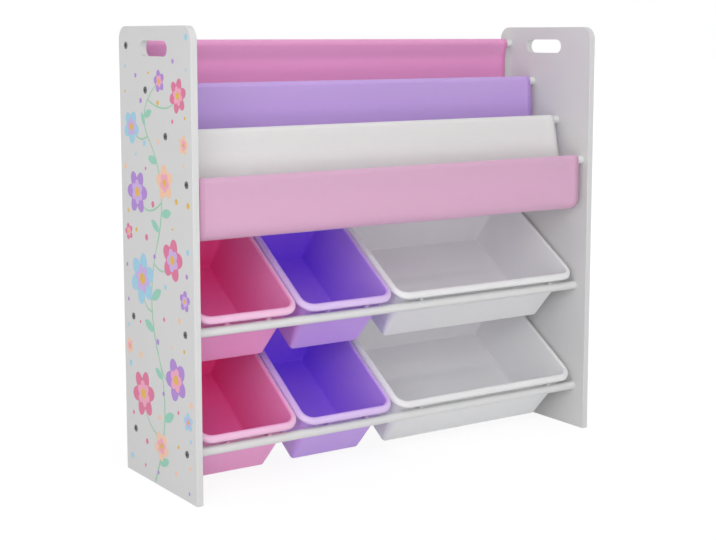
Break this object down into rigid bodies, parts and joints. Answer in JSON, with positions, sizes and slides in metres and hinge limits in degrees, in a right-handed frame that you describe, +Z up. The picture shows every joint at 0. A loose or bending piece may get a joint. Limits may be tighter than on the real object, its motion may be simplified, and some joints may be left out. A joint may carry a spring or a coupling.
{
  "type": "children's book-sling rack with toy bins",
  "caption": "Low children's rack: two side panels with hand slots carry cloth book slings on stepped rods above two rows of tilted, removable toy bins on rails.",
  "frame": {"origin": "on the floor, at the bottom centre of the whole rack's box, which the bins behind the panels are part of", "axes": "+X along the rack to the right as seen from the front, +Y from front to back, +Z up"},
  "size_m": [0.8612, 0.3022, 0.7799],
  "materials": {
    "panel_white": "white lacquered board with a printed outer face",
    "tube_white": "white powder coat",
    "screw_dark": "dark plated",
    "plug_plastic": "moulded",
    "cloth_pink": "woven polyester, plain",
    "cloth_purple": "woven polyester, plain",
    "cloth_white": "woven polyester, plain",
    "bin_pink": "moulded polypropylene, satin",
    "bin_purple": "moulded polypropylene, satin",
    "bin_white": "moulded polypropylene, satin"
  },
  "bodies": {
    "frame": {"left_panel": "panel_white", "right_panel": "panel_white", "sling_rod_1": "tube_white", "sling_rod_2": "tube_white", "sling_rod_3": "tube_white", "sling_rod_4": "tube_white", "upper_front_rail": "tube_white", "upper_rear_rail": "tube_white", "lower_front_rail": "tube_white", "lower_rear_rail": "tube_white", "left_plugs": "plug_plastic", "left_screws": "screw_dark", "right_plugs": "plug_plastic", "right_screws": "screw_dark", "sling_1_pink": "cloth_pink", "sling_2_purple": "cloth_purple", "sling_3_white": "cloth_white", "sling_4_pink": "cloth_pink"},
    "upper_bin_pink": {"upper_bin_pink": "bin_pink"},
    "upper_bin_purple": {"upper_bin_purple": "bin_purple"},
    "upper_bin_white": {"upper_bin_white": "bin_white"},
    "lower_bin_pink": {"lower_bin_pink": "bin_pink"},
    "lower_bin_purple": {"lower_bin_purple": "bin_purple"},
    "lower_bin_white": {"lower_bin_white": "bin_white"}
  },
  "joints": [
    {"name": "upper_bin_pink_tip", "type": "hinge", "parent": "frame", "child": "upper_bin_pink", "pos_m": [-0.3135, 0.07544, 0.28079], "axis": [-1, 0, 0], "range_deg": [0, 30]},
    {"name": "upper_bin_purple_tip", "type": "hinge", "parent": "frame", "child": "upper_bin_purple", "pos_m": [-0.1135, 0.07544, 0.28079], "axis": [-1, 0, 0], "range_deg": [0, 30]},
    {"name": "upper_bin_white_tip", "type": "hinge", "parent": "frame", "child": "upper_bin_white", "pos_m": [0.2, 0.07544, 0.28079], "axis": [-1, 0, 0], "range_deg": [0, 30]},
    {"name": "lower_bin_pink_tip", "type": "hinge", "parent": "frame", "child": "lower_bin_pink", "pos_m": [-0.3135, 0.07544, 0.08082], "axis": [-1, 0, 0], "range_deg": [0, 25]},
    {"name": "lower_bin_purple_tip", "type": "hinge", "parent": "frame", "child": "lower_bin_purple", "pos_m": [-0.1135, 0.07544, 0.08082], "axis": [-1, 0, 0], "range_deg": [0, 25]},
    {"name": "lower_bin_white_tip", "type": "hinge", "parent": "frame", "child": "lower_bin_white", "pos_m": [0.2, 0.07544, 0.08082], "axis": [-1, 0, 0], "range_deg": [0, 25]}
  ]
}
